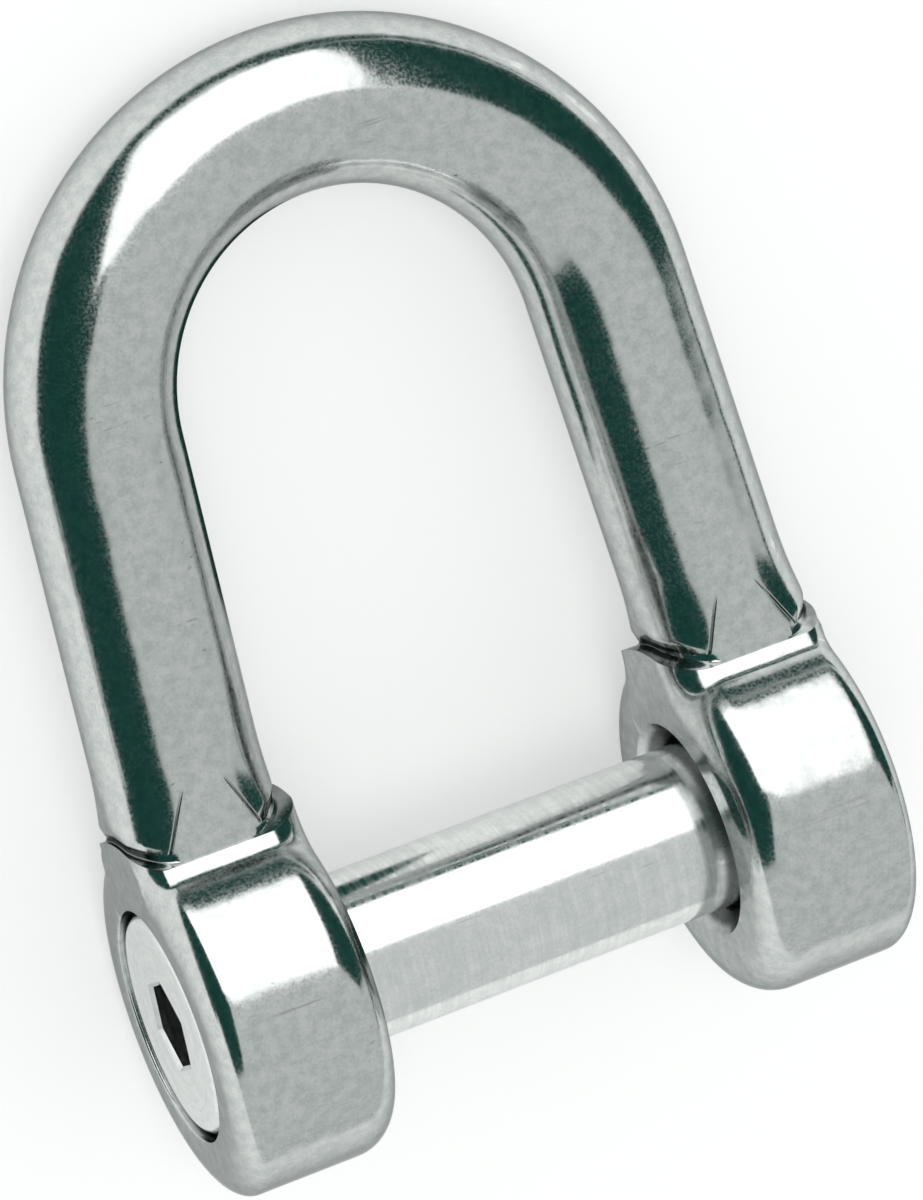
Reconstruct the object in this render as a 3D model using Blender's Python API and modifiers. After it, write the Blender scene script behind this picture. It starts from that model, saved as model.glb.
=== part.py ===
"""A size 8 chain joining shackle: a forged D-shaped body closed by a flush screw pin.

Lengths are in metres. The shackle's own frame has its origin on the pin's axis midway between
the ears, X along the pin (the head is at -X), Y towards the crown of the bow, and Z square to
both. An empty holds that frame as the shackle comes to rest: on its side, on the rims of its two
ears and the crown of its bow.
"""

import math

import bmesh
import bpy
from mathutils import Matrix

MM = 0.001

# The bar, bent to a D
BAR_DIAMETER = 8.0 * MM
BOW_RADIUS = 13.1 * MM  # of the bar's centre line, round the crown
INSIDE_LENGTH = 31.2 * MM  # from the pin's shank to the inside of the crown
LEG_OFFSET = 0.25 * MM  # from the middle of an ear out to its leg's centre line, at the shoulder

# The ears
JAW_GAP = 19.1 * MM
EAR_THICKNESS = 8.35 * MM
EAR_DIAMETER = 17.7 * MM
EAR_EDGE_RADIUS = 2.0 * MM
FACING_STOCK = 0.15 * MM  # left by the forging on each side of an ear, and machined off
FACING_MARGIN = 0.1 * MM  # how far the facing cut reaches past the shoulder

# The necks, where the round bar turns into the flat-sided ear
SHOULDER_RISE = 0.35 * MM  # how far an ear's flat sides run up the neck past the rim
FACET_LENGTH = 1.6 * MM  # of the flat facet, from the shoulder up to its point
FACET_DROP = 1.4 * MM  # from the shoulder down to where the facet is as wide as the rim's flat
LEG_RUN_IN = 1.9 * MM  # how far the leg runs on into the ear below the shoulder
LEAST_CORNER = 0.5 * MM  # of the leg's section, however wide its facet is
NECK_STEP = 0.03 * MM  # how far the ear's neck stands proud of the facet
NECK_FILLET = 1.8 * MM  # from the neck's flat front to the rim of the ear

# The screw pin
SHANK_DIAMETER = 8.3 * MM
HEAD_DIAMETER = 11.0 * MM
HEAD_HEIGHT = 3.4 * MM
HEAD_CHAMFER = 0.3 * MM
HEAD_SINK = 0.1 * MM  # from the ear's outer face down to the top of the head
SOCKET_ACROSS_FLATS = 4.0 * MM
SOCKET_DEPTH = 4.0 * MM
SOCKET_CHAMFER = 0.15 * MM
SOCKET_TURN = math.radians(15.0)  # of a corner, from the crown towards the front
SHANK_ENTRY = 1.4 * MM  # how far the shank goes into the tapped ear
RELIEF_DIAMETER = 6.6 * MM
RELIEF_WIDTH = 1.4 * MM
THREAD_DIAMETER = 7.6 * MM  # of the plain stretch that stands for the thread
PIN_END_CHAMFER = 0.7 * MM
PIN_END_SINK = 0.5 * MM  # from the tapped ear's outer face in to the end of the pin

# Mouths of the holes
BORE_CHAMFER = 0.5 * MM
TAPPED_CHAMFER = 0.5 * MM
COUNTERSINK = 0.95 * MM

# Clearances
SHANK_CLEARANCE = 0.25 * MM
HEAD_CLEARANCE = 0.25 * MM
SEAT_CLEARANCE = 0.2 * MM
THREAD_CLEARANCE = 0.2 * MM

# Fineness of the round shapes
BAR_SIDES = 32
BOW_STEPS = 40
EAR_STEPS = 64
HOLE_STEPS = 64
PIN_STEPS = 48
ARC_STEPS = 5
FILLET_STEPS = 6
CUT_PAST = 1.0 * MM  # how far a cutter reaches past what it cuts
WELD = 0.001 * MM
SHARP_ANGLE = math.radians(32.0)

# Worked out from the sizes above
BAR_RADIUS = BAR_DIAMETER / 2
EAR_RADIUS = EAR_DIAMETER / 2
SHANK_RADIUS = SHANK_DIAMETER / 2
HEAD_RADIUS = HEAD_DIAMETER / 2
THREAD_RADIUS = THREAD_DIAMETER / 2
JAW_FACE = JAW_GAP / 2
OUTER_FACE = JAW_FACE + EAR_THICKNESS
EAR_MIDDLE = JAW_FACE + EAR_THICKNESS / 2
SHOULDER_RADIUS = EAR_RADIUS + SHOULDER_RISE
FACING_RADIUS = SHOULDER_RADIUS + FACING_MARGIN
LEG_CORNER = max(BAR_RADIUS - (EAR_THICKNESS / 2 - EAR_EDGE_RADIUS), LEAST_CORNER)
BORE_RADIUS = SHANK_RADIUS + SHANK_CLEARANCE
RECESS_RADIUS = HEAD_RADIUS + HEAD_CLEARANCE
HEAD_TOP = OUTER_FACE - HEAD_SINK
HEAD_SEAT = HEAD_TOP - HEAD_HEIGHT
TAPPED_RADIUS = THREAD_RADIUS + THREAD_CLEARANCE
SHANK_END = JAW_FACE + SHANK_ENTRY
PIN_END = OUTER_FACE - PIN_END_SINK
BOW_CENTRE = INSIDE_LENGTH + SHANK_RADIUS + BAR_RADIUS - BOW_RADIUS
CROWN = BOW_CENTRE + BOW_RADIUS
TILT = math.asin((EAR_RADIUS - BAR_RADIUS) / CROWN)
BASE_CENTRE = (CROWN * math.cos(TILT) + BAR_RADIUS - EAR_RADIUS) / 2


def collection(name):
    made = bpy.data.collections.new(name)
    bpy.context.scene.collection.children.link(made)
    return made


def steel(name, colour, roughness):
    material = bpy.data.materials.new(name)
    material.use_nodes = True
    shader = material.node_tree.nodes["Principled BSDF"]
    shader.inputs["Base Color"].default_value = (*colour, 1.0)
    shader.inputs["Metallic"].default_value = 1.0
    shader.inputs["Roughness"].default_value = roughness
    return material


def place(name, mesh, frame, group):
    """An object in the shackle's own frame, in one of the collections."""
    placed = bpy.data.objects.new(name, mesh)
    placed.parent = frame
    group.objects.link(placed)
    return placed


def helper(shape):
    """Marks a cutter or another shape that only makes up a piece."""
    shape.hide_render = True
    shape.display_type = "WIRE"
    return shape


def arc(centre, radius, start, end, steps):
    """Points round part of a circle, both ends included."""
    angles = [start + (end - start) * step / steps for step in range(steps + 1)]
    return [(centre[0] + radius * math.cos(a), centre[1] + radius * math.sin(a)) for a in angles]


def turned(name, profile, steps, side, frame, group):
    """A solid of revolution about the pin's axis.

    The profile's points are (radius, distance from the middle of the jaw), from the outermost
    inwards. The side is -1 for the head's ear and +1 for the tapped one.
    """
    mesh = bpy.data.meshes.new(name)
    points = [(radius, 0.0, out) for radius, out in profile]
    edges = [(first, first + 1) for first in range(len(points) - 1)]
    mesh.from_pydata(points, edges, [])
    solid = place(name, mesh, frame, group)
    solid.rotation_euler.y = side * math.pi / 2
    screw = solid.modifiers.new("Turn", "SCREW")
    screw.axis = "Z"
    screw.angle = 2 * math.pi
    screw.steps = steps
    screw.render_steps = steps
    screw.use_merge_vertices = True
    screw.merge_threshold = WELD
    return solid


def add_line(curve, points, closed):
    """A line through points of the curve's own plane."""
    spline = curve.splines.new("POLY")
    spline.points.add(len(points) - 1)
    for point, (across, up) in zip(spline.points, points):
        point.co = (across, up, 0.0, 1.0)
    spline.use_cyclic_u = closed


def welded_curve(name, curve, group):
    """The curve's surface with its caps welded on, as an editable mesh; the curve itself goes."""
    path = bpy.data.objects.new(name, curve)
    group.objects.link(path)
    bpy.context.view_layer.update()
    graph = bpy.context.evaluated_depsgraph_get()
    shape = bmesh.new()
    shape.from_mesh(bpy.data.meshes.new_from_object(path.evaluated_get(graph)))
    bpy.data.objects.remove(path)
    bmesh.ops.remove_doubles(shape, verts=shape.verts, dist=WELD)
    return shape


def combine(target, other, operation):
    modifier = target.modifiers.new(other.name, "BOOLEAN")
    modifier.operation = operation
    modifier.object = other
    modifier.solver = "EXACT"


def settle(shape, material):
    """Applies the modifiers, and shades the result smooth between its real edges, flats kept flat."""
    graph = bpy.context.evaluated_depsgraph_get()
    mesh = bpy.data.meshes.new_from_object(shape.evaluated_get(graph))
    shape.modifiers.clear()
    shape.data = mesh
    mesh.materials.clear()
    mesh.materials.append(material)
    mesh.shade_smooth()
    mesh.set_sharp_from_angle(angle=SHARP_ANGLE)
    shape.modifiers.new("Face weights", "WEIGHTED_NORMAL").keep_sharp = True


def leg_line():
    """Foot and unit direction of a leg's centre line, and the angle at which it meets the bow.

    The leg is the straight tangent from its foot at the shoulder to the bow's circle.
    """
    foot = (EAR_MIDDLE + LEG_OFFSET, SHOULDER_RADIUS)
    rise = foot[1] - BOW_CENTRE
    meeting = math.atan2(rise, foot[0]) + math.acos(BOW_RADIUS / math.hypot(foot[0], rise))
    return foot, (-math.sin(meeting), math.cos(meeting)), meeting


def on_leg(along, across):
    """The point so far up a leg from the shoulder, and so far out from its centre line."""
    foot, way, _ = leg_line()
    return foot[0] + along * way[0] + across * way[1], foot[1] + along * way[1] - across * way[0]


def centre_line():
    """The round bar's centre line, from the point of one leg's facet over the crown to the other's."""
    meeting = leg_line()[2]
    bow = arc((0.0, BOW_CENTRE), BOW_RADIUS, math.pi - meeting, meeting, BOW_STEPS)
    end = on_leg(FACET_LENGTH, 0.0)
    return [(-end[0], end[1])] + bow + [end]


def leg_section(shape, side, along, corner):
    """A ring of new points round the leg: a square as wide as the bar, with rounded corners."""
    flat = BAR_RADIUS - corner
    quarter = BAR_SIDES // 4
    ring = []
    for turn in range(4):
        middle = math.pi / 2 * turn + math.pi / 4
        centre = (math.copysign(flat, math.cos(middle)), math.copysign(flat, math.sin(middle)))
        for across, deep in arc(centre, corner, middle - math.pi / 4, middle + math.pi / 4, quarter):
            out, up = on_leg(along, across)
            ring.append(shape.verts.new((side * out, up, deep)))
    return ring


def loft_leg(shape, side):
    """Carries the bar on from its open round end down into the ear.

    The corners of its section tighten in a straight line, so that a flat facet opens like a fan
    from a point, on the front and the back. Each facet starts from one point of the round end,
    which stands twice in its ring.
    """
    centre = on_leg(FACET_LENGTH, 0.0)[0]
    half_step = math.pi / BAR_SIDES
    ring = sorted(
        [point for point in shape.verts if point.is_boundary and side * point.co.x > 0.0],
        key=lambda point: (math.atan2(point.co.z, side * point.co.x - centre) + half_step) % (2 * math.pi),
    )
    quarter = BAR_SIDES // 4
    rings = [[ring[(quarter * turn + step) % BAR_SIDES] for turn in range(4) for step in range(quarter + 1)]]
    for along in (0.0, -FACET_DROP, -LEG_RUN_IN):
        share = min((FACET_LENGTH - along) / (FACET_LENGTH + FACET_DROP), 1.0)
        rings.append(leg_section(shape, side, along, BAR_RADIUS + share * (LEG_CORNER - BAR_RADIUS)))
    for above, below in zip(rings, rings[1:]):
        for first in range(len(above)):
            second = (first + 1) % len(above)
            corners = (above[first], above[second], below[second], below[first])
            shape.faces.new(dict.fromkeys(corners))
    shape.faces.new(rings[-1])


def bent_bar(frame, group):
    """The bar bent to its D, with a leg's changing section lofted on to each end."""
    curve = bpy.data.curves.new("bar_path", "CURVE")
    curve.dimensions = "3D"
    curve.bevel_depth = BAR_RADIUS
    curve.bevel_resolution = (BAR_SIDES - 4) // 2
    add_line(curve, centre_line(), False)
    shape = welded_curve("bar_path", curve, group)
    for side in (-1, 1):
        loft_leg(shape, side)
    bmesh.ops.recalc_face_normals(shape, faces=shape.faces)
    mesh = bpy.data.meshes.new("shackle_body")
    shape.to_mesh(mesh)
    shape.free()
    return place("shackle_body", mesh, frame, group)


def ear_outline():
    """The ear seen along the pin, as (deep, up): round rim, fillets and flat-sided neck.

    Each fillet is an arc that touches both the neck's side and the rim.
    """
    side = BAR_RADIUS + NECK_STEP
    centre_deep = side + NECK_FILLET
    centre_up = math.sqrt((EAR_RADIUS + NECK_FILLET) ** 2 - centre_deep**2)
    leaves = math.atan2(centre_up, centre_deep)
    rim = arc((0.0, 0.0), EAR_RADIUS, leaves, -math.pi - leaves, EAR_STEPS)
    front = arc((centre_deep, centre_up), NECK_FILLET, math.pi, math.pi + leaves, FILLET_STEPS)
    back = [(-deep, up) for deep, up in reversed(front)]
    top = SHOULDER_RADIUS + EAR_EDGE_RADIUS + CUT_PAST
    return [(-side, top), (side, top)] + front[:-1] + rim + back[1:]


def ear(side, frame, group):
    """The forged ear with its neck: its outline drawn out to its thickness, all edges rounded.

    Its facing stock is still on. The neck ends at a shoulder that follows a circle about the
    pin, a little outside the rim.
    """
    half = EAR_THICKNESS / 2 + FACING_STOCK
    curve = bpy.data.curves.new("ear_outline", "CURVE")
    curve.dimensions = "2D"
    curve.fill_mode = "BOTH"
    curve.extrude = half - EAR_EDGE_RADIUS
    curve.bevel_depth = EAR_EDGE_RADIUS
    curve.bevel_resolution = ARC_STEPS - 1
    curve.offset = -EAR_EDGE_RADIUS
    add_line(curve, ear_outline(), True)
    shape = welded_curve("ear_outline", curve, group)
    bmesh.ops.recalc_face_normals(shape, faces=shape.faces)
    mesh = bpy.data.meshes.new("ear")
    shape.to_mesh(mesh)
    shape.free()
    forged = helper(place("ear", mesh, frame, group))
    forged.rotation_euler.y = side * math.pi / 2
    forged.location.x = side * EAR_MIDDLE
    ends = (JAW_FACE - CUT_PAST, OUTER_FACE + CUT_PAST)
    profile = [(0.0, ends[1]), (SHOULDER_RADIUS, ends[1]), (SHOULDER_RADIUS, ends[0]), (0.0, ends[0])]
    shoulder = helper(turned("shoulder_round", profile, EAR_STEPS * 2, side, frame, group))
    combine(forged, shoulder, "INTERSECT")
    return forged


def head_ear_cutter(frame, group):
    """Faces the head's ear and bores it: a recess for the head, the bore and its chamfered mouth."""
    past = OUTER_FACE + CUT_PAST
    floor = HEAD_SEAT - SEAT_CLEARANCE
    profile = [
        (0.0, past),
        (FACING_RADIUS, past),
        (FACING_RADIUS, OUTER_FACE),
        (RECESS_RADIUS, OUTER_FACE),
        (RECESS_RADIUS, floor),
        (BORE_RADIUS, floor),
        (BORE_RADIUS, JAW_FACE + BORE_CHAMFER),
        (BORE_RADIUS + BORE_CHAMFER + CUT_PAST, JAW_FACE - CUT_PAST),
        (0.0, JAW_FACE - CUT_PAST),
    ]
    return helper(turned("head_ear_cutter", profile, HOLE_STEPS, -1, frame, group))


def tapped_ear_cutter(frame, group):
    """Faces the tapped ear and bores it: countersink, seat for the shank's end, tapping hole."""
    past = OUTER_FACE + CUT_PAST
    floor = SHANK_END + SEAT_CLEARANCE
    profile = [
        (0.0, past),
        (FACING_RADIUS, past),
        (FACING_RADIUS, OUTER_FACE),
        (TAPPED_RADIUS + TAPPED_CHAMFER, OUTER_FACE),
        (TAPPED_RADIUS, OUTER_FACE - TAPPED_CHAMFER),
        (TAPPED_RADIUS, floor),
        (BORE_RADIUS, floor),
        (BORE_RADIUS, JAW_FACE + COUNTERSINK),
        (BORE_RADIUS + COUNTERSINK + CUT_PAST, JAW_FACE - CUT_PAST),
        (0.0, JAW_FACE - CUT_PAST),
    ]
    return helper(turned("tapped_ear_cutter", profile, HOLE_STEPS, 1, frame, group))


def jaw_cutter(frame, group):
    """Faces both ears on the inside, square to the pin."""
    profile = [(0.0, JAW_FACE), (FACING_RADIUS, JAW_FACE), (FACING_RADIUS, -JAW_FACE), (0.0, -JAW_FACE)]
    return helper(turned("jaw_cutter", profile, HOLE_STEPS, 1, frame, group))


def shackle_body(frame, parts, cutters):
    """One forging: the bent bar with an ear at each end, machined where the pin goes."""
    body = bent_bar(frame, parts)
    for side in (-1, 1):
        combine(body, ear(side, frame, cutters), "UNION")
    for make in (jaw_cutter, head_ear_cutter, tapped_ear_cutter):
        combine(body, make(frame, cutters), "DIFFERENCE")
    settle(body, steel("forged_steel", (0.69, 0.70, 0.68), 0.16))
    return body


def socket_cutters(frame, group):
    """A hexagon for the key, and a shallow cone that breaks the edge of its mouth."""
    corner = SOCKET_ACROSS_FLATS / math.sqrt(3)
    depth = SOCKET_DEPTH + CUT_PAST
    shape = bmesh.new()
    bmesh.ops.create_cone(shape, cap_ends=True, segments=6, radius1=corner, radius2=corner, depth=depth)
    bmesh.ops.rotate(shape, verts=shape.verts, matrix=Matrix.Rotation(-SOCKET_TURN, 3, "Z"))
    mesh = bpy.data.meshes.new("socket_hexagon")
    shape.to_mesh(mesh)
    shape.free()
    hexagon = helper(place("socket_hexagon", mesh, frame, group))
    hexagon.rotation_euler.y = -math.pi / 2
    hexagon.location.x = -(HEAD_TOP - SOCKET_DEPTH + depth / 2)
    wide = corner + SOCKET_CHAMFER
    profile = [(0.0, HEAD_TOP + CUT_PAST), (wide + CUT_PAST, HEAD_TOP + CUT_PAST), (0.0, HEAD_TOP - wide)]
    mouth = helper(turned("socket_mouth", profile, PIN_STEPS, -1, frame, group))
    return hexagon, mouth


def screw_pin(frame, parts, cutters):
    """One turned piece: flush head, smooth shank, relief groove, and the stretch that is threaded."""
    relief = RELIEF_DIAMETER / 2
    slope = THREAD_RADIUS - relief
    profile = [
        (0.0, HEAD_TOP),
        (HEAD_RADIUS - HEAD_CHAMFER, HEAD_TOP),
        (HEAD_RADIUS, HEAD_TOP - HEAD_CHAMFER),
        (HEAD_RADIUS, HEAD_SEAT),
        (SHANK_RADIUS, HEAD_SEAT),
        (SHANK_RADIUS, -SHANK_END),
        (relief, -SHANK_END),
        (relief, -SHANK_END - RELIEF_WIDTH + slope),
        (THREAD_RADIUS, -SHANK_END - RELIEF_WIDTH),
        (THREAD_RADIUS, -PIN_END + PIN_END_CHAMFER),
        (THREAD_RADIUS - PIN_END_CHAMFER, -PIN_END),
        (0.0, -PIN_END),
    ]
    pin = turned("pin", profile, PIN_STEPS, -1, frame, parts)
    for cutter in socket_cutters(frame, cutters):
        combine(pin, cutter, "DIFFERENCE")
    settle(pin, steel("turned_steel", (0.71, 0.72, 0.70), 0.14))
    return pin


def clear_scene():
    for old in list(bpy.data.objects):
        bpy.data.objects.remove(old)


def main():
    clear_scene()
    parts = collection("chain_joining_shackle")
    cutters = collection("shackle_cutters")
    cutters.hide_render = True
    frame = bpy.data.objects.new("lying_frame", None)
    frame.location = (0.0, -BASE_CENTRE, EAR_RADIUS)
    frame.rotation_euler.x = -TILT
    parts.objects.link(frame)
    shackle_body(frame, parts, cutters)
    screw_pin(frame, parts, cutters)


main()
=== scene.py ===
"""Dresses the chain joining shackle: bright stainless steel, lying on a pale floor in studio light.

Lengths are in metres. The shackle's own frame has its origin on the pin's axis midway between the
ears, X along the pin (the head is at -X), Y towards the crown of the bow, and Z square to both.
lie_down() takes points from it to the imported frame, where the shackle lies on its side. The forging
and the pin are each one closed surface, worked out on grids whose lines follow the real edges.
"""

import math

import bmesh
import bpy
import numpy as np
from mathutils import Matrix, Vector


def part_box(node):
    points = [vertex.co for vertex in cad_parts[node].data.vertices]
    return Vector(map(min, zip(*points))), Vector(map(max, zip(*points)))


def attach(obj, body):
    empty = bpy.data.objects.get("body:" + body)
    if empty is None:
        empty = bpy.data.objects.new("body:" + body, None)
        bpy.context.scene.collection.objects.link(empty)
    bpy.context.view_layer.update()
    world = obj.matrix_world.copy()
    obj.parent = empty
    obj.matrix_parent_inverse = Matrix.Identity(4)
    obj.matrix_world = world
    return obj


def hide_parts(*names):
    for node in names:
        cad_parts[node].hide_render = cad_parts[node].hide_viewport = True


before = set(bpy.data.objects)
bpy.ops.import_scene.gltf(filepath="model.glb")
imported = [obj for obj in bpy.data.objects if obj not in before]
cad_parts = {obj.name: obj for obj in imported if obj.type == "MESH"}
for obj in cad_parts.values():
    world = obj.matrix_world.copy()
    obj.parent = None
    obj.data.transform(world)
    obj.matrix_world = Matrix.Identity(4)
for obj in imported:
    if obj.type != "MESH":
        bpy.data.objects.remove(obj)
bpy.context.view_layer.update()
BODY_LOW, BODY_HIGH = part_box("shackle_body")
PIN_LOW, PIN_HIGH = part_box("pin")

MM = 0.001

# The forging
BAR_RADIUS = 4.0 * MM
BOW_RADIUS = 13.1 * MM
LEG_OFFSET = 0.25 * MM  # from the middle of an ear out to its leg's centre line, at the shoulder
JAW_FACE = 9.55 * MM
EAR_THICKNESS = 8.35 * MM
EAR_EDGE_RADIUS = 2.0 * MM
OUTER_EDGE_DROP = 1.25 * MM  # along the pin, of the outer face's elliptical edge
SHOULDER_RISE = 0.35 * MM
NECK_FILLET = 1.8 * MM  # from the flat front of the neck to the rim
FACET_LENGTH = 3.6 * MM  # of the flat facet, from the shoulder up to its point
FACET_DROP = 1.4 * MM  # from the shoulder down to where the facet is as wide as the rim's flat
SHOULDER_NOTCH = 0.3 * MM  # the die's line above the shoulder, on the faces of the ear
NOTCH_LENGTH = 0.34 * MM
NOTCH_START = 0.45  # from the leg's middle plane, in radii of the bar
NOTCH_RAMP = 0.3
EAR_RADIUS = BODY_HIGH.z / 2
OUTER_FACE = JAW_FACE + EAR_THICKNESS
EAR_MIDDLE = JAW_FACE + EAR_THICKNESS / 2
SHOULDER_RADIUS = EAR_RADIUS + SHOULDER_RISE
FACET_HALF_WIDTH = EAR_THICKNESS / 2 - EAR_EDGE_RADIUS  # where it is widest

# The holes and their broken edges
BORE_RADIUS = 4.4 * MM
BORE_CHAMFER = 0.5 * MM
COUNTERSINK = 0.95 * MM
COUNTERSINK_DEPTH = 0.95 * MM
RECESS_RADIUS = 5.75 * MM
RECESS_FLOOR = 14.2 * MM
SEAT_FLOOR = 11.15 * MM
TAPPED_MOUTH = 4.5 * MM
BROKEN_EDGE = 0.12 * MM

# The pin
SHANK_RADIUS = 4.15 * MM
HEAD_RADIUS = 5.5 * MM
HEAD_HEIGHT = 3.4 * MM
HEAD_CHAMFER = 0.3 * MM
SOCKET_ACROSS_FLATS = 4.0 * MM
SOCKET_DEPTH = 3.7 * MM
SOCKET_CONE = 0.3 * MM
SOCKET_CHAMFER = 0.2 * MM
SOCKET_CHAMFER_DEPTH = 0.2 * MM
SOCKET_FLOOR_EDGE = 0.05 * MM
SOCKET_TURN = math.radians(15.0)
SHANK_END = 10.95 * MM
RELIEF_RADIUS = 3.2 * MM
RELIEF_WIDTH = 1.4 * MM
PIN_END_CHAMFER = 0.7 * MM
HEAD_TOP = -PIN_LOW.x
HEAD_SEAT = HEAD_TOP - HEAD_HEIGHT
PIN_END = PIN_HIGH.x

# The thread of pin and hole
THREAD_PITCH = 1.25 * MM
THREAD_RADIUS = 3.94 * MM
THREAD_DEPTH = 0.66 * MM
THREAD_PLAY = 0.07 * MM
THREAD_FADE = 0.9 * MM
THREAD_STEEPNESS = 1.45
THREAD_START_LIFT = 0.2 * MM  # of the pin's thread over the relief groove, where it starts

# How the shackle lies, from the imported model's box
BOX_LENGTH = BODY_HIGH.y - BODY_LOW.y
CROWN = math.hypot(BOX_LENGTH - BAR_RADIUS - EAR_RADIUS, EAR_RADIUS - BAR_RADIUS)
LEAN = math.asin((EAR_RADIUS - BAR_RADIUS) / CROWN)
BASE_CENTRE = -BODY_LOW.y - EAR_RADIUS
BOW_CENTRE = CROWN - BOW_RADIUS

# Fineness of the grids. The rows of the ear's lands, edges and rim fill the window's height.
ROUND_EAR = 240
WINDOW_HALF = 24  # columns of the ear's grid on each side of the neck
WINDOW_ROWS = 48  # rows of the ear's grid across the rim, from face to face
LAND_ROWS = 3
EDGE_ROWS = 15
RIM_ROWS = 17
ROUND_BAR = 4 * WINDOW_HALF + 2 * WINDOW_ROWS
WINDOW_RADIUS = 6.35 * MM
ROUND_PIN = 192
ARC_ROWS = 14
LEG_ROWS = 20
BOW_ROWS = 76
THREAD_ROWS = 72
RINGS_TO_SHOULDER = 28
RINGS_ON_SHOULDER = 7
RINGS_ON_NECK = 30
NECK_TOP = 3.4 * MM  # from the shoulder up to the first ring of the plain bar
FOOT_INSET = 0.02 * MM  # of the ring at the leg's foot, inside the leg's surface
FOOT_TURN = 0.03  # share of the way up that this ring lies in from the shoulder's edge, at least
RAY_NEAR = 3.5 * MM
RAY_FAR = 17.0 * MM
HALVINGS = 34
COLLAR_ROUNDS = 6
FLOOR_RINGS = 8
FLOOR_CENTRE = 0.03  # innermost ring of the socket's floor, in its corners' radius
END_CENTRE = 0.1 * MM  # radius of the innermost ring of the pin's end
SHARP_ANGLE = math.radians(32.0)


def lie_down(points):
    """The shackle's own frame turned by its lean about the pin, and set on the floor."""
    turn = np.array(Matrix.Rotation(-LEAN, 3, "X"))
    return points @ turn.T + np.array([0.0, -BASE_CENTRE, EAR_RADIUS])


def arc(centre, radius, start, end, rows=ARC_ROWS):
    """Points of a circle: the centre plus the radius times cosine and sine of even angles."""
    angle = np.linspace(start, end, rows)
    across, up = centre[0] + radius * np.cos(angle), centre[1] + radius * np.sin(angle)
    return np.stack([across, up], axis=-1)


def straight(start, end, rows):
    """Points evenly spaced on the line from start to end, both included."""
    share = np.linspace(0.0, 1.0, rows)[:, None]
    return (1.0 - share) * np.array(start) + share * np.array(end)


def grid_faces(index, round_columns=True, round_rows=False):
    """Quads between the neighbours in a grid of vertex numbers."""
    below = np.roll(index, -1, axis=0) if round_rows else index[1:]
    above = index if round_rows else index[:-1]
    if round_columns:
        corners = [above, np.roll(above, -1, axis=1), np.roll(below, -1, axis=1), below]
    else:
        corners = [above[:, :-1], above[:, 1:], below[:, 1:], below[:, :-1]]
    return np.stack(corners, axis=-1)


def leg_line():
    """Foot and unit direction of the leg's centre line, in (out, up), and its length to the bow.

    The leg is the tangent from its foot at the shoulder to the circle of the bow.
    """
    foot = np.array([EAR_MIDDLE + LEG_OFFSET, SHOULDER_RADIUS])
    rise = foot[1] - BOW_CENTRE
    touch = math.atan2(rise, foot[0]) + math.acos(BOW_RADIUS / math.hypot(foot[0], rise))
    top = np.array([BOW_RADIUS * math.cos(touch), BOW_CENTRE + BOW_RADIUS * math.sin(touch)])
    length = np.linalg.norm(top - foot)
    return foot, (top - foot) / length, length, touch


LEG_FOOT, LEG_WAY, LEG_LENGTH, BOW_START = leg_line()
LEG_SIDE = np.array([LEG_WAY[1], -LEG_WAY[0]])


def box_section(across, deep, half_width, half_depth, corner):
    """Distance from a rectangle with round corners: past the corners' centres, less their radius."""
    past = np.abs(across) - half_width
    over = np.abs(deep) - half_depth
    inside = np.minimum(np.maximum(past, over) + corner, 0.0)
    return np.hypot(np.maximum(past + corner, 0.0), np.maximum(over + corner, 0.0)) + inside - corner


def leg_form(out, up, deep):
    """How far a point lies outside the leg, less than zero inside.

    The section is the round bar. Below the facet's point its corners tighten with the square of
    the way down, so that a flat grows on its front and back. The notch above the shoulder follows
    a bell curve of the distance from the shoulder's circle, and is only on the leg's two faces.
    """
    along = (out - LEG_FOOT[0]) * LEG_WAY[0] + (up - LEG_FOOT[1]) * LEG_WAY[1]
    across = (out - LEG_FOOT[0]) * LEG_SIDE[0] + (up - LEG_FOOT[1]) * LEG_SIDE[1]
    growth = np.clip((FACET_LENGTH - along) / (FACET_LENGTH + FACET_DROP), 0.0, 1.0) ** 2
    corner = BAR_RADIUS - FACET_HALF_WIDTH * growth
    past_shoulder = np.hypot(up, deep) - SHOULDER_RADIUS - NOTCH_LENGTH / 2
    on_face = np.clip((np.abs(across) / BAR_RADIUS - NOTCH_START) / NOTCH_RAMP, 0.0, 1.0)
    notch = SHOULDER_NOTCH * on_face * np.exp(-((past_shoulder / NOTCH_LENGTH) ** 2))
    return np.maximum(box_section(across, deep, BAR_RADIUS, BAR_RADIUS, corner) + notch, -up)


FILLET_OUT = BAR_RADIUS + NECK_FILLET
FILLET_UP = math.sqrt((EAR_RADIUS + NECK_FILLET) ** 2 - FILLET_OUT**2)
FILLET_MEETS = math.atan2(FILLET_OUT, FILLET_UP)


def side_outline(up, deep):
    """Distance from the ear's outline seen along the pin: its round rim, the neck and the fillet.

    The fillet is a circle that touches both, so between its two touching lines the distance is
    the fillet's radius less the distance from its centre.
    """
    deep = np.abs(deep)
    plain = np.minimum(np.hypot(up, deep) - EAR_RADIUS, np.maximum(deep - BAR_RADIUS, -up))
    fillet = NECK_FILLET - np.hypot(deep - FILLET_OUT, up - FILLET_UP)
    before_rim = deep * math.cos(FILLET_MEETS) < up * math.sin(FILLET_MEETS)
    return np.where((up < FILLET_UP) & (up > 0.0) & before_rim, fillet, plain)


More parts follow.
